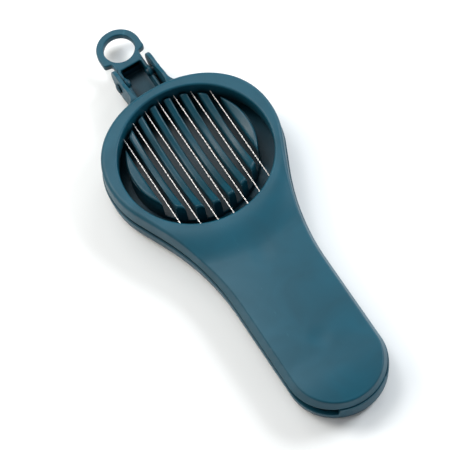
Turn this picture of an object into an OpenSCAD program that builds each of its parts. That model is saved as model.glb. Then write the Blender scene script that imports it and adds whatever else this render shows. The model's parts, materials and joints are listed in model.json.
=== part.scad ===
// Pliers-type egg slicer: two hinged paddle-shaped shells, a wire-strung cutting
// opening over a ribbed egg cradle, and a hanging ring behind the hinge.
// +Z up, +Y towards the hinge and ring, origin under the middle of the whole object.

/* [Shells] */
// Width of the head at the parting line
head_w = 72.4; // [70:0.2:76]
// From the centre of the cutting opening to the head's edge at the hinge
head_front = 35.7; // [35.5:0.1:37]
// Width of the handle at the parting line
handle_w = 40.4; // [38:0.2:42]
// From the centre of the cutting opening to the tip of the handle
handle_reach = 122.2; // [115:0.2:130]
// Height of the closed slicer
total_h = 17.5; // [17.5:0.5:20]
// Thickness of the moulded walls
wall = 1.8; // [1.4:0.1:2]
// Gap between the closed shells
parting_gap = 1.4; // [1:0.1:1.6]
// How far the base's rim stands out beyond the top shell's skirt
rim_step = 0.4; // [0.2:0.1:0.6]
// Width of the raised lip at the handle's tip on which the shells meet
stop_w = 22; // [18:1:24]
// Depth of the finger notch beside the lip
notch_h = 2.2; // [1:0.1:2.6]

/* [Cutting opening and wires] */
// Diameter of the cutting opening
opening_d = 61; // [60:0.5:62]
// Number of cutting wires
wire_count = 7; // [7:1:7]
// Spacing of the wires
wire_pitch = 6.5; // [6:0.1:6.6]
// Diameter of a wire
wire_d = 0.5; // [0.4:0.05:0.6]
// Depth of the wires below the top face
wire_drop = 5; // [4.5:0.1:5.2]

/* [Egg cradle] */
// Diameter of the ribbed cradle
cradle_d = 51.4; // [48:0.2:52]
// Height of the cradle's rim above the table
cradle_top = 14.2; // [13.6:0.1:14.4]
// Depth of the dished seat
dish_depth = 6.4; // [5:0.1:7]
// Width of the slots that take the wires
slot_w = 3.6; // [3:0.1:3.8]

/* [Hinge and ring] */
// From the centre of the cutting opening to the hinge axis
pivot_reach = 47.6; // [47.2:0.1:48.4]
// Height of the hinge axis above the table
pivot_z = 7.2; // [7.1:0.1:7.5]
// Radius of the hinge pins
pin_r = 1.7; // [1.5:0.1:2]
// Radius of the hole in the hanging ring
ring_hole_r = 6.3; // [6:0.1:6.5]
// Outer radius of the hanging ring
ring_r = 9.1; // [8.8:0.1:9.4]
// Thickness of the hanging ring
ring_t = 3.2; // [2.8:0.1:3.4]

/* [Hidden] */
$fn = 96;
eps = 0.01;

shell_colour = "#3f6478";
steel_colour = "#c9ccd0";

ring_reach = pivot_reach + 15.6;
head_y = (handle_reach - ring_reach - ring_r) / 2;   // puts the origin under the middle

rim_z = (total_h - parting_gap) / 2;                 // top of the base shell
skirt_z = rim_z + parting_gap;                       // bottom of the top shell
wire_z = total_h - wire_drop;
opening_r = opening_d / 2;
collar_t = 1.1;
collar_z = skirt_z + 0.4;
crimp_r = 0.7;
crimp_l = 1.1;

head_back = 3.7;         // the head is widest this far behind the opening's centre
head_power = 2.15;       // exponent of the head's front half: 2 is an ellipse
neck_slope = 0.434;      // sideways run of the straight flank for each unit of length
neck_r = 104;            // radius of the hollow between flank and handle
stop_from = -9;          // the lip starts here and the finger notch ends

cheek_x = 8.5;           // outer face of a hinge cheek
cheek_t = 1.6;
cheek_r = 6.9;
cheek_top = 9.3;         // height of a cheek above the axis where it meets the head
cheek_root = 14.4;       // from the axis to where a cheek ends inside the head's wall
cheek_clear = 10.9;      // nothing of a cheek lies further from the axis below the rim
flare_r = 3.6;           // fillet between the head's edge and a cheek
knuckle_r = 3;           // round lug on the tongue about the axis
stop_play = 0.1;
tongue_x = 6;            // outer face of the tongue
tongue_wall = 1.3;
ear_y = ring_reach - 4.6;
plate_y = ring_reach - 9.3;
bore_gap = 0.05;

cradle_y = 4.2;          // the cradle sits this far behind the opening's centre
cradle_r = cradle_d / 2;
slot_floor = 3.8;

module placed() { translate([0, head_y, 0]) children(); }

// Points along an arc, both ends included
function arc(x, y, r, from, to, n) =
    [for (k = [0:n]) let (a = from + (to - from) * k / n) [x + r * cos(a), y + r * sin(a)]];

// Front half of the head, from its right side round to its left
function head_arc(half_w, depth, n) =
    [for (k = [0:n]) let (c = cos(180 * k / n), s = sin(180 * k / n),
                          q = pow(pow(abs(c), head_power) + pow(s, head_power), -1 / head_power))
        [half_w * c * q, head_back + depth * s * q]];

// Paddle outline: round head, straight flanks, hollow neck, handle with a round end.
// grow moves the whole outline outwards, narrow takes width off the handle alone.
module paddle(grow = 0, narrow = 0) {
    head_r = head_w / 2 + grow;
    half_w = handle_w / 2 + grow - narrow;
    end_y = -handle_reach + handle_w / 2 - narrow;
    hollow_r = neck_r - grow;
    flank = atan(neck_slope);
    hollow_x = half_w + hollow_r * (1 - cos(flank));
    hollow_y = head_back - head_r * sin(flank) - (head_r * cos(flank) - hollow_x) / neck_slope;
    waist_y = hollow_y - hollow_r * sin(flank);
    polygon(concat(arc(0, head_back, head_r, -flank, 0, 8),
                   head_arc(head_r, head_front - head_back + grow, 48),
                   arc(0, head_back, head_r, 180, 180 + flank, 8),
                   arc(-half_w - hollow_r, waist_y, hollow_r, flank, 0, 10),
                   arc(0, end_y, half_w, 180, 360, 36),
                   arc(half_w + hollow_r, waist_y, hollow_r, 180, 180 - flank, 10)));
}

// Side profile of the top face: level over the head, down to the handle, crowned, rounded end.
function ease(t) = t * t * (3 - 2 * t);
function step_down(y) = ease(min(1, max(0, (-y - 32) / 16)));
function end_drop(y) = max(0, (-y - handle_reach + 16) / 16);
function top_profile(y) = total_h - 1.9 * step_down(y) + 0.5 * sin(180 * min(1, max(0, (-y - 48) / 50)))
    - 1.7 * pow(end_drop(y), 2);

module under_profile(drop) {
    pts = [for (y = [-32:-4:-handle_reach - 4]) [y, top_profile(max(y, -handle_reach)) - drop]];
    rotate([90, 0, 90]) linear_extrude(height = head_w + 10, center = true)
        polygon(concat([[ring_reach, -1], [ring_reach, total_h - drop]], pts, [[-handle_reach - 6, -1]]));
}

// One side plate of the hinge: a round end about the axis, running into the head.
module cheek_plate() {
    intersection() {
        union() {
            circle(r = cheek_r);
            polygon([[-cheek_root, -5.4], [-cheek_root, cheek_top], [-9.5, cheek_top], [-5.5, cheek_top - 1.2],
                     [-3.6, cheek_r - 1], [0, 0], [-3, -5.4]]);
        }
        union() {
            circle(r = cheek_clear);
            translate([-cheek_root, skirt_z - pivot_z]) square([24, 12]);
        }
    }
}

module cheeks() {
    for (side = [-1, 1])
        translate([side * (cheek_x - cheek_t / 2), pivot_reach, pivot_z])
            rotate([90, 0, 90]) linear_extrude(height = cheek_t, center = true) cheek_plate();
}

// Fillets between the head's edge and the cheeks
module cheek_flares() {
    for (side = [0, 1]) mirror([side, 0, 0])
        translate([0, 0, skirt_z]) linear_extrude(height = pivot_z + cheek_top - 0.8 - skirt_z) difference() {
            translate([cheek_x - 0.8, head_front - 3])
                square([flare_r + 0.8, flare_r + 1.4]);
            translate([cheek_x + flare_r, head_front - 1.6 + flare_r]) circle(r = flare_r);
        }
}

module pivot_bores(r) {
    translate([0, pivot_reach, pivot_z]) rotate([0, 90, 0])
        cylinder(r = r, h = 2 * cheek_x + 8, center = true, $fn = 48);
}

// Top shell: skirt, top face, collar round the opening and the two hinge cheeks.
module top_handle() {
    color(shell_colour) placed() {
        difference() {
            union() {
                difference() {
                    intersection() {
                        union() {
                            translate([0, 0, skirt_z]) linear_extrude(height = 2.2) paddle(-rim_step);
                            translate([0, 0, skirt_z + 2.2 - eps])
                                linear_extrude(height = 2.2) paddle(-rim_step - 0.2, 0.4);
                            translate([0, 0, skirt_z + 4.4 - 2 * eps])
                                linear_extrude(height = 2.4) paddle(-rim_step - 0.4, 0.8);
                            translate([0, 0, skirt_z + 6.8 - 3 * eps])
                                linear_extrude(height = total_h - skirt_z - 6.8 + 3 * eps) paddle(-rim_step - 0.8, 1);
                        }
                        under_profile(0);
                    }
                    intersection() {
                        translate([0, 0, skirt_z - 1])
                            linear_extrude(height = total_h - skirt_z + 2) paddle(-rim_step - wall - 0.2, 1);
                        under_profile(wall);
                    }
                }
                translate([0, 0, collar_z]) cylinder(r = opening_r + collar_t, h = total_h - collar_z - 1);
                cheeks();
                cheek_flares();
            }
            translate([0, 0, skirt_z - 2]) cylinder(r = opening_r, h = total_h);
            wire_holes();
            pivot_bores(pin_r + bore_gap);
            snap_reliefs();
        }
    }
}

// Holes that lead the wires through the collar
module wire_holes() {
    for (i = [1:wire_count])
        translate([wire_x(i), 0, wire_z]) rotate([90, 0, 0])
            cylinder(r = wire_d / 2 + 0.1, h = 2 * wire_half(i) + 2, center = true, $fn = 24);
}

// Slots beyond the bores that let the cheeks spring over the pins
module snap_reliefs() {
    translate([0, pivot_reach + 4.1, pivot_z]) rotate([0, 90, 0])
        cylinder(r = 0.9, h = 2 * cheek_x + 4, center = true, $fn = 32);
}

function wire_x(i) = (i - (wire_count + 1) / 2) * wire_pitch;
function crimp_start(i) = sqrt(pow(opening_r + collar_t, 2) - pow(max(0, abs(wire_x(i)) - crimp_r), 2)) + 0.1;
function wire_half(i) = crimp_start(i) + crimp_l;

module cutting_wire(i) {
    color(steel_colour) placed()
        translate([wire_x(i), 0, wire_z]) rotate([90, 0, 0])
            cylinder(r = wire_d / 2, h = 2 * wire_half(i), center = true, $fn = 24);
}

// Crimped ferrules that anchor the wire ends behind the collar
module wire_crimps(side) {
    color("#a9adb1") placed()
        for (i = [1:wire_count])
            translate([wire_x(i), side * (wire_half(i) - crimp_l / 2), wire_z]) rotate([90, 0, 0])
                cylinder(r = crimp_r, h = crimp_l, center = true, $fn = 32);
}

// Ring pressed up behind the collar that closes the channel holding the wire ends
module clamp_ring() {
    color("#36586b") placed()
        translate([0, 0, collar_z]) difference() {
            intersection() {
                cylinder(r = opening_r + collar_t + 1.5, h = 1.2);
                linear_extrude(height = 1.2) paddle(-rim_step - wall - 0.5, 1);
            }
            translate([0, 0, -1]) cylinder(r = opening_r + collar_t + 0.02, h = 4);
        }
}

// Base shell: drafted tub under the whole length, hinge tongue and hanging ring.
module base_handle() {
    color(shell_colour) placed() difference() {
        union() {
            difference() {
                union() {
                    linear_extrude(height = 1.2) paddle(-2);
                    translate([0, 0, 1.2 - eps]) linear_extrude(height = 1.4) paddle(-1.2);
                    translate([0, 0, 2.6 - 2 * eps]) linear_extrude(height = 2.6) paddle(-0.5);
                    translate([0, 0, 5.2 - 3 * eps])
                        linear_extrude(height = rim_z - 5.2 + 3 * eps) paddle();
                    stop_lip();
                }
                translate([0, 0, wall]) linear_extrude(height = total_h) paddle(-wall - 1.4);
                finger_notch();
            }
            tongue();
        }
        pivot_bores(pin_r);
        translate([0, ring_reach, -1]) cylinder(r = ring_hole_r, h = total_h);
    }
}

// Raised part of the rim that stops the closing shells
module stop_lip() {
    intersection() {
        linear_extrude(height = skirt_z - stop_play) paddle();
        translate([stop_from, -handle_reach - 1, rim_z - 1]) cube([stop_w, 12, parting_gap + 2]);
    }
}

// Lowered stretch of the rim beside the lip, where a finger gets between the shells
module finger_notch() {
    translate([stop_from, 0, rim_z]) rotate([90, 0, -90]) linear_extrude(height = handle_w)
        polygon([[handle_reach + 2, -notch_h], [handle_reach - 8, -notch_h], [handle_reach - 24, 0],
                 [handle_reach - 24, 4], [handle_reach + 2, 4]]);
}

// Open channel that carries the pins, ending in the ring with its two square shoulders.
module tongue() {
    root_y = head_front - 2.2;
    difference() {
        translate([-tongue_x, root_y, 0]) cube([2 * tongue_x, plate_y + 1.3 - root_y, rim_z]);
        translate([-tongue_x + tongue_wall, root_y - 2, wall])
            cube([2 * (tongue_x - tongue_wall), plate_y - root_y + 2, rim_z]);
    }
    for (side = [-1, 1])
        translate([side * (tongue_x - tongue_wall / 2), pivot_reach, pivot_z]) rotate([0, 90, 0])
            cylinder(r = knuckle_r, h = tongue_wall, center = true, $fn = 64);
    translate([0, 0, rim_z - ring_t]) linear_extrude(height = ring_t) {
        translate([0, ring_reach]) circle(r = ring_r);
        translate([-ring_r, ear_y]) square([2 * ring_r, ring_reach - ear_y]);
        translate([-tongue_x, plate_y]) square([2 * tongue_x, ear_y - plate_y + 1]);
    }
}

// Dished cradle whose ribs hold the egg and let the wires pass between them
module egg_cradle() {
    dish_r = (pow(cradle_r - 0.9, 2) + pow(dish_depth, 2)) / (2 * dish_depth);
    color(shell_colour) placed() translate([0, cradle_y, 0]) difference() {
        translate([0, 0, wall]) cylinder(r = cradle_r, h = cradle_top - wall);
        translate([0, 0, cradle_top - dish_depth + dish_r]) sphere(r = dish_r, $fn = 180);
        for (i = [1:wire_count])
            translate([wire_x(i) - slot_w / 2, -cradle_r - 1, slot_floor])
                cube([slot_w, 2 * cradle_r + 2, cradle_top]);
    }
}

// Domed pin fixed in the tongue's wall, turning in a cheek
module hinge_pin(side) {
    pin_in = tongue_x - tongue_wall - 0.9;
    color("#2f4e60") placed()
        translate([side * pin_in, pivot_reach, pivot_z]) rotate([0, side * 90, 0]) {
            cylinder(r = pin_r, h = cheek_x - pin_in + 0.4, $fn = 48);
            translate([0, 0, cheek_x - pin_in + 0.2]) cylinder(r1 = pin_r + 0.5, r2 = 1.2, h = 1.1, $fn = 48);
        }
}

top_handle();
clamp_ring();
cutting_wire(1);  // cutting_wire_1
cutting_wire(2);  // cutting_wire_2
cutting_wire(3);  // cutting_wire_3
cutting_wire(4);  // cutting_wire_4
cutting_wire(5);  // cutting_wire_5
cutting_wire(6);  // cutting_wire_6
cutting_wire(7);  // cutting_wire_7
wire_crimps(-1);  // wire_crimps_front
wire_crimps(1);  // wire_crimps_rear
base_handle();
egg_cradle();
hinge_pin(-1);  // hinge_pin_left
hinge_pin(1);  // hinge_pin_right
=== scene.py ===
"""The looks of a pliers-type egg slicer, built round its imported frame.

Lengths inside the classes are millimetres, with the origin under the centre of the
cutting opening; they become metres in the frame's own place when a mesh is made.
"""

import json
import logging
import math
from dataclasses import dataclass
from enum import Enum
from typing import Any, Callable

import bmesh
import bpy
import numpy as np
from mathutils import Matrix, Vector

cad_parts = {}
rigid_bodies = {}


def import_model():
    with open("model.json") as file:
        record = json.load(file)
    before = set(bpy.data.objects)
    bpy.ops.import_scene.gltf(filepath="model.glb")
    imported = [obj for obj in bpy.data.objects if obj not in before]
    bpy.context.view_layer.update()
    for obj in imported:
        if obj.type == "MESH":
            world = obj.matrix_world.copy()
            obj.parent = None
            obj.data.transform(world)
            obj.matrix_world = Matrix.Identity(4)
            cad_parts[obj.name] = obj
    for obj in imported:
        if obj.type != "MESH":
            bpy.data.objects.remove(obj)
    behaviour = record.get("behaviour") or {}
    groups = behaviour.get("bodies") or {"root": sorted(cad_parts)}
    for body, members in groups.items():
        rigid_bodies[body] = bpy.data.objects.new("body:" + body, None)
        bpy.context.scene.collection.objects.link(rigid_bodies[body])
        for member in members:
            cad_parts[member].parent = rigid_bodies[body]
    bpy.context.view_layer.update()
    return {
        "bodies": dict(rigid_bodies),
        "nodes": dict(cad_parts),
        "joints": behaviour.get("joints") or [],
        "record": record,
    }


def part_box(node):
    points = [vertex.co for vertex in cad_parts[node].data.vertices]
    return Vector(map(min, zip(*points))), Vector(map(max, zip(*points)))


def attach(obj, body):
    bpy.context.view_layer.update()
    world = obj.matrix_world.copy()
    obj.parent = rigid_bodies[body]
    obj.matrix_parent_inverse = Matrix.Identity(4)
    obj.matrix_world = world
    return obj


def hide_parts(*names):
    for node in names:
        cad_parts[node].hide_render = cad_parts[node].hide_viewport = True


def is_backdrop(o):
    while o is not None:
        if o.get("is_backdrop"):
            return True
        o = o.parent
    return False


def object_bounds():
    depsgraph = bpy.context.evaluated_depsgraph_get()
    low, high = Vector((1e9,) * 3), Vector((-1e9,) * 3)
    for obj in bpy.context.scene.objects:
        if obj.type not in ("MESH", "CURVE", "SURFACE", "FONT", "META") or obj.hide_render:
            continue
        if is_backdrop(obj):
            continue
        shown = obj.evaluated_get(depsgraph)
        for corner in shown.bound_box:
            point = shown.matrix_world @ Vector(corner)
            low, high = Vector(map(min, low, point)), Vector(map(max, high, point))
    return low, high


LOG = logging.getLogger("egg_slicer")
MM = 0.001
TURN = 2 * math.pi


class Ends(Enum):
    """How the first and last rings of a lofted mesh are finished."""

    JOINED = "joined"
    CAPPED = "capped"


class Side(Enum):
    """Left or right of the long axis, as the sign of X."""

    LEFT = -1
    RIGHT = 1


# ---------------------------------------------------------------- shape helpers


def ease(t: np.ndarray | float) -> np.ndarray | float:
    """Smooth step from 0 to 1 over t from 0 to 1."""
    t = np.clip(t, 0.0, 1.0)
    return t * t * (3 - 2 * t)


def arc(centre: tuple[float, float], radius: float, start: float, end: float, steps: int) -> np.ndarray:
    """Points along an arc, without its last one.

    Args:
        centre: Centre of the arc.
        radius: Its radius.
        start: First angle in degrees.
        end: Last angle in degrees.
        steps: Number of points.

    Returns:
        An array of steps rows of x and y.
    """
    angle = np.radians(start + (end - start) * np.arange(steps) / steps)
    return np.column_stack([centre[0] + radius * np.cos(angle), centre[1] + radius * np.sin(angle)])


def line(start: np.ndarray, end: np.ndarray, steps: int) -> np.ndarray:
    """Points along a straight line, without its last one.

    Args:
        start: First point.
        end: Last point.
        steps: Number of points.

    Returns:
        An array of steps rows.
    """
    t = np.arange(steps)[:, None] / steps
    return (1 - t) * np.asarray(start, float) + t * np.asarray(end, float)


def rounded_outline(corners: list[tuple[float, float, float]], spacing: float) -> np.ndarray:
    """Closed outline whose corners are rounded, anticlockwise when its corners are.

    Args:
        corners: Each corner's x, y and rounding radius.
        spacing: Greatest distance between neighbouring points.

    Returns:
        An array of x and y rows.
    """
    pieces = []
    points = np.array([c[:2] for c in corners], float)
    count = len(corners)
    for k, (_, _, radius) in enumerate(corners):
        before, here, after = points[k - 1], points[k], points[(k + 1) % count]
        inward, outward = before - here, after - here
        inward /= np.linalg.norm(inward)
        outward /= np.linalg.norm(outward)
        opening = math.acos(float(np.clip(inward @ outward, -1, 1)))
        reach = radius / math.tan(opening / 2)
        centre = here + (inward + outward) / np.linalg.norm(inward + outward) * radius / math.sin(opening / 2)
        first, last = here + inward * reach - centre, here + outward * reach - centre
        a0, a1 = math.atan2(first[1], first[0]), math.atan2(last[1], last[0])
        sweep = (a1 - a0 + math.pi) % TURN - math.pi
        steps = max(3, math.ceil(abs(sweep) * radius / spacing))
        angle = a0 + sweep * np.arange(steps + 1) / steps
        pieces.append(centre + radius * np.column_stack([np.cos(angle), np.sin(angle)]))
    filled = []
    for k, piece in enumerate(pieces):
        filled.append(piece)
        gap = pieces[(k + 1) % count][0] - piece[-1]
        steps = math.ceil(np.linalg.norm(gap) / spacing)
        if steps > 1:
            filled.append(line(piece[-1], pieces[(k + 1) % count][0], steps)[1:])
    outline = np.vstack(filled)
    keep = np.linalg.norm(outline - np.roll(outline, 1, axis=0), axis=1) > 1e-4
    return outline[keep]


def inset(outline: np.ndarray, depth: float) -> np.ndarray:
    """Moves an anticlockwise outline inwards along its normals.

    Args:
        outline: Rows of x and y.
        depth: Distance to move.

    Returns:
        The moved rows.
    """
    along = np.roll(outline, -1, axis=0) - np.roll(outline, 1, axis=0)
    along /= np.linalg.norm(along, axis=1)[:, None]
    return outline + depth * np.column_stack([-along[:, 1], along[:, 0]])


def at_height(outline: np.ndarray, z: np.ndarray | float) -> np.ndarray:
    """Gives a flat outline its third coordinate.

    Args:
        outline: Rows of x and y.
        z: One height, or one for each row.

    Returns:
        Rows of x, y and z.
    """
    return np.column_stack([outline, np.broadcast_to(z, len(outline))])


def quarter(steps: int) -> list[tuple[float, float]]:
    """Rounding of an edge as pairs that run from (0, 1) to (1, 0) along a quarter circle.

    Args:
        steps: Number of steps.

    Returns:
        Pairs of how far in from the side and how far down from the face, in radii.
    """
    angles = [math.pi / 2 * k / steps for k in range(steps + 1)]
    return [(1 - math.cos(a), 1 - math.sin(a)) for a in angles]


@dataclass
class Place:
    """Where the frame says the main things are, in millimetres.

    Args:
        head_y: Y of the cutting opening's centre in the frame.
        top_z: Height of the closed slicer.
        rim_z: Height of the base shell's rim and of the ring's top face.
        pivot_y: Hinge axis, counted from the opening's centre.
        pivot_z: Height of the hinge axis.
        ring_y: Centre of the hanging ring, counted from the opening's centre.
        ring_hole_r: Radius of the ring's hole.
        ring_t: Thickness of the ring.
        reach: From the opening's centre to the tip of the handle.
    """

    head_y: float
    top_z: float
    rim_z: float
    pivot_y: float
    pivot_z: float
    ring_y: float
    ring_hole_r: float
    ring_t: float
    reach: float

    @classmethod
    def from_frame(cls, frame: dict[str, Any]) -> "Place":
        """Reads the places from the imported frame.


        Returns:
            The places.
        """
        low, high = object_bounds()
        clamp_low, clamp_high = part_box("clamp_ring")
        head_y = (clamp_low.y + clamp_high.y) / 2 / MM
        hole = next(m for m in frame["record"]["mounts"] if m["name"] == "hanging_hole")
        hinge = next(j for j in frame["joints"] if j["name"] == "handle_hinge")
        ring_t = hole["dims"]["length_mm"]
        return cls(
            head_y=head_y,
            top_z=high[2] / MM,
            rim_z=hole["pos_m"][2] / MM + ring_t / 2,
            pivot_y=hinge["pos_m"][1] / MM - head_y,
            pivot_z=hinge["pos_m"][2] / MM,
            ring_y=hole["pos_m"][1] / MM - head_y,
            ring_hole_r=hole["dims"]["r_mm"],
            ring_t=ring_t,
            reach=head_y - low[1] / MM,
        )

    @property
    def skirt_z(self) -> float:
        """Height of the top shell's lower edge: the parting gap lies at mid height."""
        return self.top_z - self.rim_z


def new_piece(
    name: str, vertices: np.ndarray, faces: list[tuple[int, ...]], place: Place
) -> bpy.types.Object:
    """Makes a mesh object, smooth but for its flat end caps, from millimetre vertices.

    Args:
        name: Name of the piece.
        vertices: Rows of x, y and z counted from under the opening's centre.
        faces: Vertex numbers of each face.
        place: The frame's places.

    Returns:
        The linked object.
    """
    mesh = bpy.data.meshes.new(name)
    moved = (vertices + np.array([0.0, place.head_y, 0.0])) * MM
    mesh.from_pydata(moved.tolist(), [], faces)
    mesh.validate()
    mesh.polygons.foreach_set("use_smooth", [len(face.vertices) <= 4 for face in mesh.polygons])
    piece = bpy.data.objects.new(name, mesh)
    bpy.context.scene.collection.objects.link(piece)
    face_outwards(mesh)
    mesh.set_sharp_from_angle(angle=math.radians(50))
    return piece


def face_outwards(mesh: bpy.types.Mesh) -> None:
    """Turns all face normals of a closed mesh outwards.

    Args:
        mesh: The mesh to change.
    """
    work = bmesh.new()
    work.from_mesh(mesh)
    bmesh.ops.recalc_face_normals(work, faces=work.faces)
    work.to_mesh(mesh)
    work.free()


def loft(name: str, rings: list[np.ndarray], ends: Ends, place: Place) -> bpy.types.Object:
    """Skins closed rings of equal length, one after the other.

    Args:
        name: Name of the piece.
        rings: Each ring's points, all in step with one another.
        ends: Whether the last ring joins the first or both get a cap.
        place: The frame's places.

    Returns:
        The linked object.
    """
    count = len(rings[0])
    here = np.arange(count)
    there = np.roll(here, -1)
    bands = len(rings) if ends is Ends.JOINED else len(rings) - 1
    faces: list[tuple[int, ...]] = []
    for k in range(bands):
        a, b = k * count, (k + 1) % len(rings) * count
        corners = (a + here, a + there, b + there, b + here)
        faces += list(zip(*(corner.tolist() for corner in corners)))
    vertices = np.vstack(rings)
    if ends is Ends.CAPPED:
        total = len(vertices)
        vertices = np.vstack([vertices, rings[0].mean(axis=0), rings[-1].mean(axis=0)])
        last = (len(rings) - 1) * count
        faces += [(int(i), int(j), total) for i, j in zip(here, there)]
        faces += [(last + int(i), last + int(j), total + 1) for i, j in zip(here, there)]
    return new_piece(name, vertices, faces, place)


def drilled_plate(
    name: str,
    outline: np.ndarray,
    hole: tuple[float, float, float],
    thickness: float,
    edge: float,
    place: Place,
    put: Callable[[np.ndarray], np.ndarray],
) -> bpy.types.Object:
    """Plate with rounded edges and one round hole that every outline point can see.

    Args:
        name: Name of the piece.
        outline: Anticlockwise outline in the plate's own plane.
        hole: Centre and radius of the hole.
        thickness: Thickness, from 0 upwards along the third coordinate.
        edge: Rounding radius of all edges.
        place: The frame's places.
        put: Turns plate coordinates into the slicer's.

    Returns:
        The linked object.
    """
    away = outline - np.array(hole[:2])
    angle = np.arctan2(away[:, 1], away[:, 0])
    unit = np.column_stack([np.cos(angle), np.sin(angle)])

    def bore(grow: float) -> np.ndarray:
        return np.array(hole[:2]) + unit * (hole[2] + grow)

    rounding = quarter(4)
    rings = []
    for top in (True, False):
        level = (lambda drop: thickness - drop) if top else (lambda drop: drop)
        outer = [at_height(inset(outline, edge * i), level(edge * d)) for i, d in rounding]
        inner = [at_height(bore(edge * i), level(edge * d)) for i, d in rounding]
        across = [outer[-1] * (1 - t) + inner[-1] * t for t in np.linspace(0, 1, 8)[1:-1]]
        face = outer + across + inner[::-1]
        rings += face if top else face[::-1]
    return loft(name, [put(ring) for ring in rings], Ends.JOINED, place)


def tray(
    name: str,
    outline: np.ndarray,
    heights: tuple[float, float],
    wall: float,
    floor: float,
    edge: float,
    place: Place,
) -> bpy.types.Object:
    """Open box with rounded edges over a star-shaped outline.

    Args:
        name: Name of the piece.
        outline: Anticlockwise outline seen from above.
        heights: Underside and rim.
        wall: Thickness of the walls.
        floor: Thickness of the floor.
        edge: Rounding radius of the edges.
        place: The frame's places.

    Returns:
        The linked object.
    """
    bottom, rim = heights
    fine = min(edge, wall / 2) * 0.9
    middle = outline.mean(axis=0)
    rings = [at_height(middle + (inset(outline, edge) - middle) * t, bottom) for t in (0.02, 0.3, 0.7)]
    rings += [at_height(inset(outline, edge * i), bottom + edge * d) for i, d in quarter(5)[::-1]]
    rings += [at_height(inset(outline, fine * i), rim - fine * d) for i, d in quarter(4)]
    rings += [at_height(inset(outline, wall - fine * i), rim - fine * d) for i, d in quarter(4)[::-1]]
    rings += [at_height(inset(outline, wall + fine * i), bottom + floor + fine * d) for i, d in quarter(4)]
    inner = inset(outline, wall + fine)
    rings += [at_height(middle + (inner - middle) * t, bottom + floor) for t in (0.7, 0.3, 0.02)]
    return loft(name, rings, Ends.CAPPED, place)


@dataclass(frozen=True)
class Paddle:
    """Outline of both shells: round head, straight flanks, hollow neck, round-ended handle.

    Args:
        head_r: Half the head's width.
        front: From the cutting opening's centre to the head's edge at the hinge.
        half_w: Half the handle's width.
        reach: From the cutting opening's centre to the tip.
        back: How far behind the opening's centre the head is widest.
        power: Exponent of the head's front half; 2 would be an ellipse.
        flank_slope: Sideways run of the flank for each unit of length.
        hollow_r: Radius of the hollow between flank and handle.
    """

    head_r: float
    front: float
    half_w: float
    reach: float
    back: float = 3.7
    power: float = 2.15
    flank_slope: float = 0.434
    hollow_r: float = 104.0

    def ring(self, grow: float = 0.0, narrow: float = 0.0) -> np.ndarray:
        """Outline moved outwards, anticlockwise from the right flank.

        Args:
            grow: How far the whole outline moves outwards.
            narrow: Width taken off each side of the handle alone.

        Returns:
            Rows of x and y, in step for every grow and narrow.
        """
        head_r, half_w, hollow_r = self.head_r + grow, self.half_w + grow - narrow, self.hollow_r - grow
        tip_y = -self.reach + self.half_w - narrow
        flank = math.degrees(math.atan(self.flank_slope))
        cos, sin = math.cos(math.radians(flank)), math.sin(math.radians(flank))
        hollow_x = half_w + hollow_r * (1 - cos)
        hollow_y = self.back - head_r * sin - (head_r * cos - hollow_x) / self.flank_slope
        waist_y = hollow_y - hollow_r * sin
        left = np.array([-1.0, 1.0])
        tangent, hollow = np.array([head_r * cos, self.back - head_r * sin]), np.array([hollow_x, hollow_y])
        waist, tip = np.array([half_w, waist_y]), np.array([half_w, tip_y])
        turn = math.pi * np.arange(170) / 170
        full = (np.abs(np.cos(turn)) ** self.power + np.sin(turn) ** self.power) ** (-1 / self.power)
        depth = self.front - self.back + grow
        head = np.column_stack([head_r * np.cos(turn) * full, self.back + depth * np.sin(turn) * full])
        return np.vstack([
            arc((0, self.back), head_r, -flank, 0, 24),
            head,
            arc((0, self.back), head_r, 180, 180 + flank, 24),
            line(tangent * left, hollow * left, 14),
            arc((-half_w - hollow_r, waist_y), hollow_r, flank, 0, 40),
            line(waist * left, tip * left, 40),
            arc((0, tip_y), half_w, 180, 360, 128),
            line(tip, waist, 40),
            arc((half_w + hollow_r, waist_y), hollow_r, 180, 180 - flank, 40),
            line(hollow, tangent, 14),
        ])


# -------------------------------------------------------------------- finishes


def linear(hex_colour: str) -> tuple[float, float, float, float]:
    """sRGB hex colour as linear red, green, blue and alpha.

    Args:
        hex_colour: Such as "#3f6478".

    Returns:
        The linear colour.
    """
    channels = [int(hex_colour[k:k + 2], 16) / 255 for k in (1, 3, 5)]
    red, green, blue = (c / 12.92 if c <= 0.04045 else ((c + 0.055) / 1.055) ** 2.4 for c in channels)
    return red, green, blue, 1.0


def add_node(
    tree: bpy.types.NodeTree,
    kind: str,
    values: dict[str | int, Any] | None = None,
    links: dict[str | int, bpy.types.NodeSocket] | None = None,
    **settings: Any,
) -> bpy.types.Node:
    """Adds a node to a tree with its settings, socket values and incoming links.

    Args:
        tree: The tree to add to.
        kind: Blender's name of the node type.
        values: Value of each input socket that has one.
        links: Output socket that each linked input takes.
        **settings: Attributes of the node itself.

    Returns:
        The node.
    """
    node = tree.nodes.new(kind)
    for key, value in settings.items():
        setattr(node, key, value)
    for key, value in (values or {}).items():
        node.inputs[key].default_value = value
    for key, socket in (links or {}).items():
        tree.links.new(socket, node.inputs[key])
    return node


def new_material(name: str) -> tuple[bpy.types.Material, bpy.types.NodeTree, bpy.types.NodeSocket]:
    """Makes an empty node material.

    Args:
        name: Name of the material.

    Returns:
        The material, its tree and its surface socket.
    """
    material = bpy.data.materials.new(name)
    material.use_nodes = True
    tree = material.node_tree
    tree.nodes.clear()
    output = add_node(tree, "ShaderNodeOutputMaterial")
    return material, tree, output.inputs["Surface"]


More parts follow.
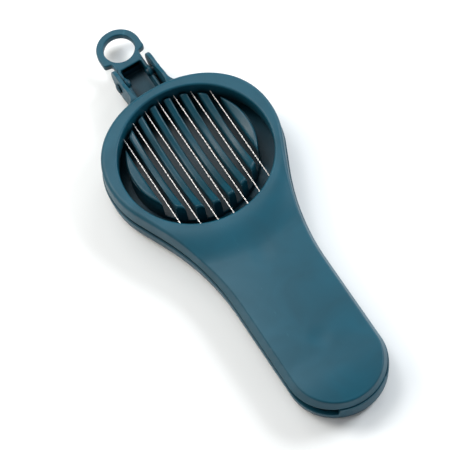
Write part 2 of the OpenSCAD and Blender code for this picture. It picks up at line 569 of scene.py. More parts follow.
@dataclass(frozen=True)
class MouldedPolypropylene:
    """Injection-moulded polypropylene from a fine spark-eroded mould: satin, faintly mottled.

    Args:
        name: Name of the material.
        body: Colour of the pigment.
        deep: Colour where the pigment is a little denser.
        rubbed: Colour of edges rubbed light in use.
        roughness: Middle roughness of the satin face.
        grit_mm: Size of the eroded grain. The real one is about 0.1 mm and would not show,
            so it is drawn about three times as coarse.
        flow_mm: Size of the soft cloudy flow marks that a thin wall shows.
        painted_recess_shade: Painted shade: colour that ambient occlusion mixes in where other walls stand
            near,
        as in slots, channels and the gap between the shells.
        recess_mm: How near a facing wall has to be for that.
    """

    name: str
    body: str
    deep: str
    rubbed: str
    roughness: float = 0.42
    grit_mm: float = 0.3
    flow_mm: float = 16.0
    painted_recess_shade: str = "#041a22"
    recess_mm: float = 7.0

    def material(self) -> bpy.types.Material:
        """Builds the node material."""
        material, tree, surface = new_material(self.name)
        place = add_node(tree, "ShaderNodeTexCoord").outputs["Object"]
        clouds = {"Scale": 1 / (self.flow_mm * MM), "Detail": 3.0, "Roughness": 0.55, "Distortion": 0.6}
        flow = add_node(tree, "ShaderNodeTexNoise", clouds, {"Vector": place})
        grit = add_node(tree, "ShaderNodeTexNoise", {"Scale": 1 / (self.grit_mm * MM), "Detail": 2.0},
                        {"Vector": place})
        cloud = add_node(tree, "ShaderNodeMapRange", {"From Min": 0.3, "From Max": 0.72},
                         {"Value": flow.outputs["Fac"]})
        pigment = add_node(tree, "ShaderNodeMix", {"A": linear(self.body), "B": linear(self.deep)},
                           {"Factor": cloud.outputs["Result"]}, data_type="RGBA")
        edges = add_node(tree, "ShaderNodeNewGeometry").outputs["Pointiness"]
        rub = add_node(tree, "ShaderNodeMapRange", {"From Min": 0.57, "From Max": 0.68, "To Max": 0.3},
                       {"Value": edges})
        worn = add_node(tree, "ShaderNodeMix", {"B": linear(self.rubbed)},
                        {"Factor": rub.outputs["Result"], "A": pigment.outputs["Result"]}, data_type="RGBA")
        # Painted shade: ambient occlusion darkens the colour where other walls stand near, as in slots,
        # channels and the gap between the shells.
        shade_occlusion = add_node(tree, "ShaderNodeAmbientOcclusion", {"Distance": self.recess_mm * MM})
        painted_shade_mask = add_node(tree, "ShaderNodeMapRange", {"From Min": 0.15, "From Max": 0.85},
                          {"Value": shade_occlusion.outputs["AO"]})
        shaded = add_node(tree, "ShaderNodeMix", {"A": linear(self.painted_recess_shade)},
                          {"Factor": painted_shade_mask.outputs["Result"], "B": worn.outputs["Result"]}, data_type="RGBA")
        gloss = add_node(tree, "ShaderNodeMapRange",
                         {"To Min": self.roughness - 0.06, "To Max": self.roughness + 0.08},
                         {"Value": flow.outputs["Fac"]})
        relief = add_node(tree, "ShaderNodeBump", {"Strength": 0.18, "Distance": 0.02 * MM},
                          {"Height": grit.outputs["Fac"]})
        shader = add_node(tree, "ShaderNodeBsdfPrincipled", {"IOR": 1.49, "Specular IOR Level": 0.28},
                          {"Base Color": shaded.outputs["Result"], "Roughness": gloss.outputs["Result"],
                           "Normal": relief.outputs["Normal"]})
        tree.links.new(shader.outputs["BSDF"], surface)
        return material


@dataclass(frozen=True)
class DrawnSteelWire:
    """Bright drawn stainless wire: polished by the die, with faint lengthwise die lines.

    Args:
        name: Name of the material.
        metal: Colour of the metal.
        dull: Colour of the duller streaks.
        roughness: Middle roughness.
        streak_mm: Length of a streak along the wire.
        line_mm: Width of a die line.
    """

    name: str
    metal: str = "#eae6e3"
    dull: str = "#b9b5b1"
    roughness: float = 0.38
    streak_mm: float = 3.0
    line_mm: float = 0.12

    def material(self) -> bpy.types.Material:
        """Builds the node material."""
        material, tree, surface = new_material(self.name)
        place = add_node(tree, "ShaderNodeTexCoord").outputs["Object"]
        across, along = 1 / (self.line_mm * MM), 1 / (self.streak_mm * MM)
        drawn = add_node(tree, "ShaderNodeMapping", {"Scale": (across, along, across)}, {"Vector": place})
        streak = add_node(tree, "ShaderNodeTexNoise", {"Scale": 1.0, "Detail": 2.0},
                          {"Vector": drawn.outputs["Vector"]})
        tone = add_node(tree, "ShaderNodeMix", {"A": linear(self.dull), "B": linear(self.metal)},
                        {"Factor": streak.outputs["Fac"]}, data_type="RGBA")
        gloss = add_node(tree, "ShaderNodeMapRange",
                         {"To Min": self.roughness + 0.08, "To Max": self.roughness - 0.08},
                         {"Value": streak.outputs["Fac"]})
        shader = add_node(tree, "ShaderNodeBsdfPrincipled", {"Metallic": 1.0},
                          {"Base Color": tone.outputs["Result"], "Roughness": gloss.outputs["Result"]})
        tree.links.new(shader.outputs["BSDF"], surface)
        return material


@dataclass(frozen=True)
class CrimpedAluminium:
    """Soft aluminium ferrule squeezed on to a wire: matt grey with tool marks.

    Args:
        name: Name of the material.
        metal: Colour of the metal.
        marked: Colour of the tool marks.
        mark_mm: Spacing of the tool marks.
    """

    name: str
    metal: str = "#b9bcc0"
    marked: str = "#8d9094"
    mark_mm: float = 0.35

    def material(self) -> bpy.types.Material:
        """Builds the node material."""
        material, tree, surface = new_material(self.name)
        place = add_node(tree, "ShaderNodeTexCoord").outputs["Object"]
        marks = add_node(tree, "ShaderNodeTexNoise", {"Scale": 1 / (self.mark_mm * MM), "Detail": 3.0},
                         {"Vector": place})
        tone = add_node(tree, "ShaderNodeMix", {"A": linear(self.marked), "B": linear(self.metal)},
                        {"Factor": marks.outputs["Fac"]}, data_type="RGBA")
        relief = add_node(tree, "ShaderNodeBump", {"Strength": 0.3, "Distance": 0.03 * MM},
                          {"Height": marks.outputs["Fac"]})
        shader = add_node(tree, "ShaderNodeBsdfPrincipled", {"Metallic": 1.0, "Roughness": 0.42},
                          {"Base Color": tone.outputs["Result"], "Normal": relief.outputs["Normal"]})
        tree.links.new(shader.outputs["BSDF"], surface)
        return material


@dataclass(frozen=True)
class MattPaper:
    """Studio background paper: matt white with a barely visible tooth.

    Args:
        name: Name of the material.
        sheet: Colour of the paper.
        tooth_mm: Size of the paper's tooth.
    """

    name: str
    sheet: str = "#f4f4f3"
    tooth_mm: float = 0.8

    def material(self) -> bpy.types.Material:
        """Builds the node material."""
        material, tree, surface = new_material(self.name)
        place = add_node(tree, "ShaderNodeTexCoord").outputs["Object"]
        tooth = add_node(tree, "ShaderNodeTexNoise", {"Scale": 1 / (self.tooth_mm * MM), "Detail": 2.0},
                         {"Vector": place})
        relief = add_node(tree, "ShaderNodeBump", {"Strength": 0.05, "Distance": 0.05 * MM},
                          {"Height": tooth.outputs["Fac"]})
        shader = add_node(tree, "ShaderNodeBsdfPrincipled",
                          {"Base Color": linear(self.sheet), "Roughness": 0.95},
                          {"Normal": relief.outputs["Normal"]})
        tree.links.new(shader.outputs["BSDF"], surface)
        return material


def dress(piece: bpy.types.Object, material: bpy.types.Material, body: str) -> bpy.types.Object:
    """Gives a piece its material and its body.

    Args:
        piece: The piece.
        material: Its material.
        body: CAD body that it rides on.

    Returns:
        The piece.
    """
    piece.data.materials.clear()
    piece.data.materials.append(material)
    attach(piece, body)
    LOG.info("%s rides on %s", piece.name, body)
    return piece


# ---------------------------------------------------------------- sub-assemblies


@dataclass
class TopShell:
    """Top shell with the cutting opening, and the two cheeks of the hinge.

    Args:
        place: The frame's places.
        plastic: Its finish.
        outline: Outline at the parting line.
        opening_r: Radius of the cutting opening.
        wall: Thickness of the skin.
        collar_t: Thickness of the collar round the opening.
        collar_z: Lower end of the collar.
        step: How far the skirt stands back from the base's rim.
        taper: How much narrower the head is at the top than at the skirt.
        handle_taper: Further width that the handle loses on each side.
        scoop: How far the handle lies below the head.
        crown: How much the handle's middle stands above its sides.
        dimples: Y of the gate dimples' centres.
        dimple_r: Radius of a gate dimple.
        cheek_x: Outer face of a cheek.
        cheek_t: Thickness of a cheek.
        cheek_r: Radius of a cheek's round end.
    """

    place: Place
    plastic: bpy.types.Material
    outline: Paddle
    opening_r: float = 30.5
    wall: float = 1.8
    collar_t: float = 1.1
    collar_z: float = 9.85
    step: float = 0.4
    taper: float = 0.2
    handle_taper: float = 1.5
    scoop: float = 1.9
    crown: float = 1.1
    dimples: tuple[float, float] = (-50.5, -93.0)
    dimple_r: float = 6.0
    cheek_x: float = 8.5
    cheek_t: float = 1.6
    cheek_r: float = 6.9

    def height(self, ring: np.ndarray) -> np.ndarray:
        """Height of the top face: level head, scooped neck, crowned handle that falls at its tip.

        Args:
            ring: Rows of x and y.

        Returns:
            One height for each row.
        """
        x, y = ring[:, 0], ring[:, 1]
        away = np.hypot(x, y)
        down = ease((away - 33.0) / 15.0) * ease((-y - 4.0) / 18.0)
        z = self.place.top_z - self.scoop * down
        z = z + 0.45 * np.sin(math.pi * np.clip((-y - 48.0) / 50.0, 0, 1))
        z = z - 1.7 * np.clip((-y - self.place.reach + 16.0) / 16.0, 0, 1.05) ** 2
        z = z - self.crown * down * (x / self.outline.half_w) ** 2
        for centre_y in self.dimples:
            d = np.hypot(x, y - centre_y) / self.dimple_r
            z = z - 0.1 * (1 + np.cos(math.pi * np.clip(d, 0, 1)))
        return z

    def edge_radius(self, ring: np.ndarray) -> np.ndarray:
        """Rounding of the top edge: generous round the head, crisp along the handle.

        Args:
            ring: Rows of x and y.

        Returns:
            One radius for each row.
        """
        return 1.8 - 1.0 * ease((-ring[:, 1] - 8.0) / 34.0)

    def build_shell(self) -> bpy.types.Object:
        """Skins the shell as one closed ring of rings, from the collar outwards and back inside."""
        place, outline = self.place, self.outline
        crease_grow, crease_narrow = -self.step - self.taper, self.handle_taper
        crease = outline.ring(crease_grow, crease_narrow)
        radius = self.edge_radius(crease)
        angle = np.arctan2(crease[:, 1], crease[:, 0])
        unit = np.column_stack([np.cos(angle), np.sin(angle)])
        lip = 0.9
        rings = [at_height(unit * self.opening_r, z)
                 for z in np.linspace(self.collar_z + 0.4, place.top_z - lip, 5)[:-1]]
        for i, d in quarter(7):
            circle = unit * (self.opening_r + lip * i)
            rings.append(at_height(circle, self.height(unit * (self.opening_r + lip)) - lip * d))
        edge = [(1 - math.cos(a), 1 - math.sin(a)) for a in np.linspace(math.pi / 2, 0.25, 9)]
        inner_face, outer_face = unit * (self.opening_r + lip), inset(crease, radius[:, None])
        for t in np.linspace(0, 1, 84)[1:-1]:
            flat = inner_face * (1 - t) + outer_face * t
            rings.append(at_height(flat, self.height(flat)))
        crease_z = self.height(outer_face)
        for i, d in edge:
            rings.append(at_height(inset(crease, radius[:, None] * i), crease_z - radius * d))
        side_top = crease_z - radius * (1 - math.sin(0.25))
        for t in np.linspace(0, 1, 12)[1:]:
            flat = outline.ring(crease_grow + self.taper * t, crease_narrow * (1 - t))
            rings.append(at_height(flat, side_top * (1 - t) + (place.skirt_z + 0.3) * t))
        skirt = outline.ring(-self.step)
        rings += [at_height(inset(skirt, 0.3 * i), place.skirt_z + 0.3 * d) for i, d in quarter(4)[1:]]
        rings += [at_height(inset(skirt, self.wall - 0.3 * i), place.skirt_z + 0.3 * d)
                  for i, d in quarter(4)[::-1]]
        inside = inset(outline.ring(-self.step - self.wall, 0.6), 0.0)
        under = self.height(inside) - self.wall
        for t in np.linspace(0, 1, 6)[1:]:
            rings.append(at_height(inside, (place.skirt_z + 0.3) * (1 - t) + (under - 0.6) * t))
        collar = unit * (self.opening_r + self.collar_t)
        for t in np.linspace(0.02, 1, 30):
            flat = inside * (1 - t) + collar * t
            rings.append(at_height(flat, self.height(flat) - self.wall))
        rings += [at_height(collar, z)
                  for z in np.linspace(place.top_z - self.wall - 0.4, self.collar_z + 0.3, 5)]
        rings += [at_height(unit * (self.opening_r + self.collar_t - 0.3 * i), self.collar_z + 0.3 * d)
                  for i, d in quarter(3)[1:]]
        rings.append(at_height(unit * (self.opening_r + 0.3), self.collar_z))
        rings.append(at_height(unit * (self.opening_r + 0.1), self.collar_z + 0.12))
        return loft("top_shell", rings, Ends.JOINED, place)

    def build_cheek(self, side: Side) -> bpy.types.Object:
        """Makes one cheek, whose root flares into the head.

        Args:
            side: Which cheek.

        Returns:
            The piece.
        """
        place = self.place
        root, shoulder = -14.2, place.skirt_z - place.pivot_z
        r = self.cheek_r
        outline = rounded_outline([
            (r, -r, r * 0.999), (r, r, r * 0.97), (-3.2, r + 0.1, 1.5), (-8.5, 9.3, 3.0), (root, 9.3, 0.4),
            (root, shoulder + 0.1, 0.4), (-10.4, shoulder + 0.1, 0.6), (-9.2, -5.2, 0.8), (-4.4, -5.6, 1.0),
            (-1.6, -r, 1.0),
        ], 0.3)

        def put(ring: np.ndarray) -> np.ndarray:
            y, z, across = ring[:, 0], ring[:, 1], ring[:, 2] / self.cheek_t
            near = np.clip((-9.9 - y) / 3.7, 0, 1)
            flare = 1 - np.sqrt(1 - near ** 2)
            x = self.cheek_x - self.cheek_t * (1 - across) + 3.4 * flare * across - 1.0 * flare * (1 - across)
            z = z - 2.2 * flare * across * np.clip((z - shoulder) / (9.3 - shoulder), 0, 1)
            return np.column_stack([side.value * x, place.pivot_y + y, place.pivot_z + z])

        name = f"hinge_cheek_{side.name.lower()}"
        return drilled_plate(name, outline, (0, 0, 1.75), self.cheek_t, 0.35, place, put)

    def build(self) -> None:
        """Builds and dresses the shell and its cheeks."""
        shell = dress(self.build_shell(), self.plastic, "top")
        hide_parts("top_handle")
        for side in Side:
            dress(self.build_cheek(side), self.plastic, "top")


@dataclass
class BaseShell:
    """Base shell, its channel-shaped tongue and the hanging ring.

    Args:
        place: The frame's places.
        plastic: Its finish.
        outline: Outline at the parting line.
        wall: Thickness of the skin.
        lip: X of both ends of the raised stop at the handle's tip.
        lip_gap: What the stop leaves open under the top shell.
        notch: Depth of the finger notch that the rim has left of the stop.
        tongue_x: Outer face of the tongue.
        tongue_wall: Thickness of its side walls.
        knuckle_r: Radius of the lugs round the hinge axis.
        ring_r: Outer radius of the hanging ring.
    """

    place: Place
    plastic: bpy.types.Material
    outline: Paddle
    wall: float = 1.8
    lip: tuple[float, float] = (-9.0, 13.0)
    lip_gap: float = 0.1
    notch: float = 2.2
    tongue_x: float = 6.0
    tongue_wall: float = 1.3
    knuckle_r: float = 2.6
    ring_r: float = 9.1

    def rim_height(self, ring: np.ndarray) -> np.ndarray:
        """Height of the rim, raised at the handle's tip where the shells meet.

        Args:
            ring: Rows of x and y.

        Returns:
            One height for each row.
        """
        x, y = ring[:, 0], ring[:, 1]
        rise = self.place.skirt_z - self.place.rim_z - self.lip_gap
        tip = (y < -self.place.reach / 2).astype(float)
        on_lip = tip * ease((x - self.lip[0]) / 0.7 + 0.5) * ease((self.lip[1] - x) / 0.7 + 0.5)
        sunk = tip * ease((self.lip[0] - x) / 0.7 + 0.5) * ease((-y - self.place.reach + 25.0) / 20.0)
        return self.place.rim_z + rise * on_lip - self.notch * sunk

    def build_tub(self) -> bpy.types.Object:
        """Skins the tub from the middle of its underside, over the rim, to the middle of its floor."""
        outline = self.outline
        spine = np.array([0.0, 1.0]) * np.clip(outline.ring()[:, 1:], -outline.reach + outline.half_w, 0)
        foot = outline.ring(-4.2)
        rings = [at_height(spine + (foot - spine) * t, 0.0) for t in np.linspace(0.01, 1, 14)[:-1]]
        for a in np.linspace(0, math.pi / 2, 10):
            rings.append(at_height(outline.ring(-0.5 - 3.7 * (1 - math.sin(a))), 2.6 * (1 - math.cos(a))))
        for t in np.linspace(0, 1, 7)[1:-1]:
            flat = outline.ring(-0.5 * (1 - t) ** 1.5)
            rings.append(at_height(flat, 2.6 * (1 - t) + (self.rim_height(flat) - 0.3) * t))
        rim = outline.ring()
        top = self.rim_height(rim)
        rings += [at_height(inset(rim, 0.3 * i), top - 0.3 * d) for i, d in quarter(4)]
        rings += [at_height(inset(rim, self.wall - 0.3 * i), top - 0.3 * d) for i, d in quarter(4)[::-1]]
        for t in np.linspace(0, 1, 6)[1:]:
            flat = outline.ring(-self.wall - 0.9 * t)
            rings.append(at_height(flat, (top - 0.3) * (1 - t) + (self.wall + 1.0) * t))
        for i, d in quarter(5)[1:]:
            rings.append(at_height(outline.ring(-self.wall - 0.9 - 1.0 * i), self.wall + 1.0 * d))
        floor = outline.ring(-self.wall - 1.9)
        rings += [at_height(floor + (spine - floor) * t, self.wall) for t in np.linspace(0, 0.99, 14)[1:]]
        return loft("base_tub", rings, Ends.CAPPED, self.place)

    def build_tongue(self) -> bpy.types.Object:
        """Makes the open channel between the head and the ring."""
        place, x = self.place, self.tongue_x
        near, far = self.outline.front - 2.2, place.ring_y - 9.3 + self.tongue_wall
        outline = rounded_outline([(-x, near, 2.0), (x, near, 2.0), (x, far, 2.0), (-x, far, 2.0)], 0.3)
        heights = (0.0, place.rim_z - 0.02)
        return tray("hinge_tongue", outline, heights, self.tongue_wall, self.wall, 0.5, place)

    def build_knuckle(self, side: Side) -> bpy.types.Object:
        """Makes the lug that rises round the hinge axis on one side wall.

        Args:
            side: Which side wall.

        Returns:
            The piece.
        """
        place, r = self.place, self.knuckle_r
        outline = arc((0, 0), r, 0, 360, 56)

        def put(ring: np.ndarray) -> np.ndarray:
            x = self.tongue_x - self.tongue_wall - 0.05 + ring[:, 2]
            return np.column_stack([side.value * x, place.pivot_y + ring[:, 0], place.pivot_z + ring[:, 1]])

        name = f"tongue_knuckle_{side.name.lower()}"
        return drilled_plate(name, outline, (0, 0, 1.7), self.tongue_wall + 0.1, 0.3, place, put)

    def build_ring(self) -> bpy.types.Object:
        """Makes the flat hanging ring with its square shoulders and short neck."""
        place, r, x = self.place, self.ring_r, self.tongue_x
        outline = rounded_outline([
            (r, r, r * 0.985), (-r, r, r * 0.985), (-r, -4.2, 1.1), (-x, -5.0, 0.7), (-x, -9.3, 0.3),
            (x, -9.3, 0.3), (x, -5.0, 0.7), (r, -4.2, 1.1),
        ], 0.35)

        def put(ring: np.ndarray) -> np.ndarray:
            return ring + np.array([0.0, place.ring_y, place.rim_z - place.ring_t])

        hole = (0, 0, place.ring_hole_r)
        return drilled_plate("hanging_ring", outline, hole, place.ring_t, 0.5, place, put)

    def build(self) -> None:
        """Builds and dresses the base shell's pieces."""
        tub = dress(self.build_tub(), self.plastic, "base")
        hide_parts("base_handle")
        pieces = [self.build_tongue(), self.build_ring(), *(self.build_knuckle(side) for side in Side)]
        for piece in pieces:
            dress(piece, self.plastic, "base")


@dataclass
class Cradle:
    """Dished egg cradle: six ribs and two crescents standing on a round foot.

    Args:
        place: The frame's places.
        plastic: Its finish.
        radius: Radius of the cradle.
        centre_y: How far it sits behind the opening's centre.
        top_z: Height of its rim.
        dish: Depth of the dished seat.
        foot: Underside and top of the foot.
        pitch: Spacing of the slots.
        slot_w: Width of a slot.
        slots: Number of slots.
    """

    place: Place
    plastic: bpy.types.Material
    radius: float = 25.7
    centre_y: float = 4.2
    top_z: float = 14.2
    dish: float = 6.4
    foot: tuple[float, float] = (1.8, 3.8)
    pitch: float = 6.5
    slot_w: float = 3.6
    slots: int = 7

    def seat(self, x: np.ndarray, y: np.ndarray) -> np.ndarray:
        """Height of the spherical seat.

        Args:
            x: X of each point from the cradle's centre.
            y: Y of each point from the cradle's centre.

        Returns:
            One height for each point.
        """
        rim_r = self.radius - 0.9
        sphere_r = (rim_r ** 2 + self.dish ** 2) / (2 * self.dish)
        flat = np.minimum(np.hypot(x, y), rim_r)
        return self.top_z - self.dish + sphere_r - np.sqrt(sphere_r ** 2 - flat ** 2)

    def build_rib(self, name: str, low_x: float, high_x: float) -> bpy.types.Object:
        """Makes one rib between two slots, or a crescent outside the last slot.

        Args:
            name: Name of the piece.
            low_x: Its left side.
            high_x: Its right side.

        Returns:
            The piece.
        """
        edge = 1.0
        across = (1 - np.cos(np.linspace(0, math.pi, 17))) / 2
        along = (1 - np.cos(np.linspace(0, math.pi, 101))) / 2 * 2 - 1
        x = low_x + (high_x - low_x) * across[:, None] * np.ones_like(along)[None, :]
        reach = np.sqrt(np.maximum(self.radius ** 2 - x ** 2, 0.0))
        y = reach * along[None, :]
        side_gap = np.minimum(x - low_x, high_x - x)
        end_gap = (self.radius - np.hypot(x, y))
        gap = -np.log(np.exp(-side_gap * 4) + np.exp(-end_gap * 3) + 1e-9) / 3.5
        inside = np.clip(gap / edge, 0, 1)
        z = self.seat(x, y) - edge * (1 - np.sqrt(np.maximum(0, 1 - (1 - inside) ** 2)))
        rows, columns = x.shape
        top = np.column_stack([x.ravel(), y.ravel() + self.centre_y, z.ravel()])
        index = np.arange(rows * columns).reshape(rows, columns)
        border = np.concatenate([index[:-1, 0], index[-1, :-1], index[:0:-1, -1], index[0, :0:-1]])
        faces = [(int(index[i, j]), int(index[i + 1, j]), int(index[i + 1, j + 1]), int(index[i, j + 1]))
                 for i in range(rows - 1) for j in range(columns - 1)]
        middle = top.mean(axis=0)
        levels = [top]
        count = len(border)
        start = len(top)
        for t in (0.15, 0.5, 1.0):
            rim = top[border].copy()
            rim[:, 0] += (rim[:, 0] - middle[0]) * 0.06 * t
            rim[:, 2] = rim[:, 2] * (1 - t) + (self.foot[0] + 0.4) * t
            levels.append(rim)
        previous = border
        for k in range(3):
            current = np.arange(start + k * count, start + (k + 1) * count)
            for a in range(count):
                b = (a + 1) % count
                faces.append((int(previous[a]), int(previous[b]), int(current[b]), int(current[a])))
            previous = current
        faces.append(tuple(int(v) for v in previous))
        return new_piece(name, np.vstack(levels), faces, self.place)

    def build_foot(self) -> bpy.types.Object:
        """Makes the round foot that joins the ribs."""
        low, high = self.foot
        edge = 0.4
        unit = arc((0, 0), 1.0, 0, 360, 128)
        centre = np.array([0.0, self.centre_y])
        radii = [(0.02, low), (self.radius * 0.6, low)]
        radii += [(self.radius - 0.15 - edge * i, low + edge * d) for i, d in quarter(4)[::-1]]
        radii += [(self.radius - 0.15 - edge * i, high - edge * d) for i, d in quarter(4)]
        radii += [(self.radius * 0.6, high), (0.02, high)]
        rings = [at_height(centre + unit * r, z) for r, z in radii]
        return loft("cradle_foot", rings, Ends.CAPPED, self.place)

    def build(self) -> None:
        """Builds and dresses the foot, the ribs and the crescents."""
        foot = dress(self.build_foot(), self.plastic, "base")
        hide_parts("egg_cradle")
        slots = [(k - (self.slots - 1) / 2) * self.pitch for k in range(self.slots)]
        outermost = self.radius - 0.02
        walls = [x + s * self.slot_w / 2 for x in slots for s in (-1, 1)]
        sides = [-outermost, *walls, outermost]
        for k in range(0, len(sides), 2):
            rib = self.build_rib(f"cradle_rib_{k // 2 + 1}", sides[k], sides[k + 1])
            dress(rib, self.plastic, "base")


@dataclass
class WireSet:
    """Seven cutting wires, each twisted from two strands, with their crimps and clamp ring.

    Args:
        place: The frame's places.
        steel: Finish of the wires.
        ferrule: Finish of the crimps.
        insert: Finish of the clamp ring.
        count: Number of wires.
        strand_r: Radius of one strand.
        lay_mm: Length over which the strands go once round each other.
    """

    place: Place
    steel: bpy.types.Material
    ferrule: bpy.types.Material
    insert: bpy.types.Material
    count: int = 7
    strand_r: float = 0.125
    lay_mm: float = 3.4

    def build_wire(self, number: int) -> bpy.types.Object:
        """Makes one wire of two strands laid round each other.

        Args:
            number: Which wire, from the left.

        Returns:
            The piece.
        """
        node = f"cutting_wire_{number}"
        low, high = (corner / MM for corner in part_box(node))
        x, z = (low.x + high.x) / 2, (low.z + high.z) / 2
        start, end = low.y - self.place.head_y, high.y - self.place.head_y
        offset = (high.x - low.x) / 2 - self.strand_r
        steps = int((end - start) / self.lay_mm * 14)
        y = np.linspace(start, end, steps)
        around = np.linspace(0, TURN, 9)[:-1]
        vertices, faces = [], []
        for strand in (0, 1):
            turn = TURN * (y - start) / self.lay_mm + math.pi * strand
            cx, cz = x + offset * np.cos(turn), z + offset * np.sin(turn)
            first = strand * steps * 8
            for k in range(steps):
                ring_x = cx[k] + self.strand_r * np.cos(around)
                ring_z = cz[k] + self.strand_r * np.sin(around)
                vertices.append(np.column_stack([ring_x, np.full(8, y[k]), ring_z]))
            for k in range(steps - 1):
                a = first + k * 8
                faces += [(a + j, a + (j + 1) % 8, a + 8 + (j + 1) % 8, a + 8 + j) for j in range(8)]
            faces.append(tuple(range(first, first + 8)))
            faces.append(tuple(range(first + (steps - 1) * 8, first + steps * 8)))
        return new_piece(f"twisted_wire_{number}", np.vstack(vertices), faces, self.place)

    def build(self, frame: dict[str, Any]) -> None:
        """Builds the wires and dresses the CAD crimps and clamp ring.
        """
        for number in range(1, self.count + 1):
            wire = dress(self.build_wire(number), self.steel, "top")
            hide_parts(f"cutting_wire_{number}")
        for node, material in (("wire_crimps_front", self.ferrule), ("wire_crimps_rear", self.ferrule),
                               ("clamp_ring", self.insert)):
            frame["nodes"][node].data.materials.clear()
            frame["nodes"][node].data.materials.append(material)
            LOG.info("%s keeps its CAD shape", node)


@dataclass
class HingePins:
    """Two domed pins, fixed in the tongue's lugs and turning in the cheeks.

    Args:
        place: The frame's places.
        plastic: Their finish.
        pin_r: Radius of the shank.
        head_r: Radius of the domed head.
        inner_x: Inner end of a pin.
        cheek_x: Outer face of a cheek.
        head_h: Height of the head.
    """

    place: Place
    plastic: bpy.types.Material
    pin_r: float = 1.7
    head_r: float = 2.2
    inner_x: float = 3.8
    cheek_x: float = 8.5
    head_h: float = 1.1

    def build(self) -> None:
        """Turns both pins on the hinge axis and dresses them."""
        seat = self.cheek_x + 0.2
        profile = [(0.01, self.inner_x), (self.pin_r - 0.3, self.inner_x), (self.pin_r, self.inner_x + 0.3),
                   (self.pin_r, seat - 0.02), (self.head_r - 0.2, seat), (self.head_r, seat + 0.15)]
        profile += [(self.head_r * math.cos(a), seat + 0.15 + (self.head_h - 0.15) * math.sin(a))
                    for a in np.linspace(0.15, math.pi / 2 - 0.02, 9)]
        unit = arc((0, 0), 1.0, 0, 360, 40)
        for side in Side:
            rings = [np.column_stack([np.full(len(unit), side.value * x), self.place.pivot_y + unit[:, 0] * r,
                                      self.place.pivot_z + unit[:, 1] * r]) for r, x in profile]
            name = f"hinge_pin_{side.name.lower()}"
            dome = loft(f"domed_{name}", rings, Ends.CAPPED, self.place)
            pin = dress(dome, self.plastic, "base")
            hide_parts(name)


# ----------------------------------------------------------------------- studio


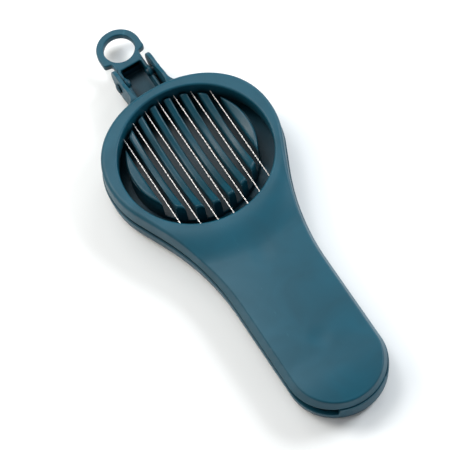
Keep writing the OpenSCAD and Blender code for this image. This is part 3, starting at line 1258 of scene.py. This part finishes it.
@dataclass
class Studio:
    """Pale floor, soft lights and the camera.

    Args:
        place: The frame's places.
        paper: Finish of the floor.
        azimuth: Camera's turn about the vertical, in degrees, 0 looking along +Y.
        elevation: Camera's height over the horizon, in degrees.
        roll: Turn of the picture, in degrees.
        distance: From the opening's centre to the camera, in metres.
        opening_at: Where the opening's centre lies, right of and above the picture's middle,
            in shares of the picture's width.
        scale: Millimetres of the object across the picture's width at the opening.
        floor_r: Radius of the floor.
        floor_t: Thickness of the floor.
    """

    place: Place
    paper: bpy.types.Material
    azimuth: float = -18.3
    elevation: float = 61.3
    roll: float = -13.7
    distance: float = 1.3
    opening_at: tuple[float, float] = (-0.0653, 0.1602)
    scale: float = 172.9
    floor_r: float = 900
    floor_t: float = 4

    def axes(self) -> tuple[Vector, Vector, Vector]:
        """Right, up and backward directions of the camera."""
        a, e, r = (math.radians(v) for v in (self.azimuth, self.elevation, self.roll))
        back = Vector((math.sin(a) * math.cos(e), -math.cos(a) * math.cos(e), math.sin(e)))
        right = Vector((math.cos(a), math.sin(a), 0))
        up = back.cross(right)
        return right * math.cos(r) + up * math.sin(r), up * math.cos(r) - right * math.sin(r), back

    def build_camera(self) -> None:
        """Places the camera square to its view and makes it the scene's."""
        right, up, back = self.axes()
        opening = Vector((0, self.place.head_y * MM, self.place.top_z * MM))
        width = self.scale * MM
        target = opening - right * self.opening_at[0] * width - up * self.opening_at[1] * width
        camera = bpy.data.objects.new("camera", bpy.data.cameras.new("camera"))
        bpy.context.scene.collection.objects.link(camera)
        camera.data.sensor_width = 36.0
        camera.data.lens = 36.0 * self.distance / width
        turn = Matrix((right, up, back)).transposed().to_4x4()
        camera.matrix_world = Matrix.Translation(target + back * self.distance) @ turn
        bpy.context.scene.camera = camera

    def build_light(self, name: str, place: tuple[float, float, float], size: float, power: float,
                    colour: str) -> None:
        """Adds one square soft light aimed at the object.

        Args:
            name: Name of the light.
            place: Where it stands, in metres.
            size: Length of its sides, in metres.
            power: Power in watts.
            colour: Its colour.
        """
        light = bpy.data.objects.new(name, bpy.data.lights.new(name, "AREA"))
        bpy.context.scene.collection.objects.link(light)
        light.data.size = size
        light.data.energy = power
        light.data.color = linear(colour)[:3]
        light.location = place
        light.rotation_euler = (Vector((0, 0, 0.01)) - Vector(place)).to_track_quat("-Z", "Y").to_euler()

    def build(self) -> None:
        """Builds the floor, the lights, the world and the camera."""
        middle = (0, -self.place.head_y)
        profile = ((10, -self.floor_t), (self.floor_r, -self.floor_t), (self.floor_r, 0), (10, 0))
        discs = [at_height(arc(middle, r, 0, 360, 96), z) for r, z in profile]
        floor = loft("floor", discs, Ends.CAPPED, self.place)
        floor.data.materials.append(self.paper)
        floor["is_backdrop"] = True
        self.build_light("right_softbox", (1.0, 0.0, 0.7), 0.5, 11.0, "#f4faff")
        self.build_light("rear_left_softbox", (-0.6, 0.8, 0.8), 0.5, 7.0, "#fffbf4")
        self.build_light("top_left_softbox", (-0.2, 0.5, 1.0), 0.4, 4.0, "#f6fbff")
        self.build_light("rear_top_softbox", (0.15, 0.75, 1.0), 0.5, 2.5, "#ffffff")
        self.build_light("rear_right_softbox", (0.8, 0.7, 0.7), 0.5, 3.6, "#f8fcff")
        self.build_light("left_fill", (-0.9, 0.2, 0.8), 0.6, 2.5, "#fffbf4")
        self.build_light("front_bounce", (0.35, -1.0, 0.45), 0.7, 1.5, "#e4f0ff")
        world = bpy.data.worlds.new("soft_room")
        world.use_nodes = True
        room = world.node_tree.nodes["Background"]
        room.inputs["Color"].default_value = linear("#e9eef2")
        room.inputs["Strength"].default_value = 0.22
        bpy.context.scene.world = world
        bpy.context.scene.view_settings.view_transform = "Standard"
        self.build_camera()


def main() -> None:
    """Builds the slicer round its frame, then the studio."""
    logging.basicConfig(level=logging.INFO, format="%(name)s: %(message)s")
    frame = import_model()
    place = Place.from_frame(frame)
    shell_plastic = MouldedPolypropylene("moulded_polypropylene_teal",
                                         "#0d4c5e", "#0b4353", "#2e6a7a").material()
    insert_plastic = MouldedPolypropylene("moulded_polypropylene_dark_teal",
                                          "#0b3a49", "#092f3d", "#255563").material()
    outline = Paddle(head_r=36.2, front=35.7, half_w=20.2, reach=place.reach)
    TopShell(place, shell_plastic, outline).build()
    BaseShell(place, shell_plastic, outline).build()
    cradle_plastic = MouldedPolypropylene("moulded_polypropylene_cradle_teal",
                                          "#0b4150", "#093540", "#2c6473", roughness=0.34).material()
    Cradle(place, cradle_plastic).build()
    WireSet(place, DrawnSteelWire("drawn_stainless_wire").material(),
            CrimpedAluminium("crimped_aluminium").material(), insert_plastic).build(frame)
    HingePins(place, insert_plastic).build()
    Studio(place, MattPaper("matt_studio_paper").material()).build()


if __name__ == "__main__":
    main()
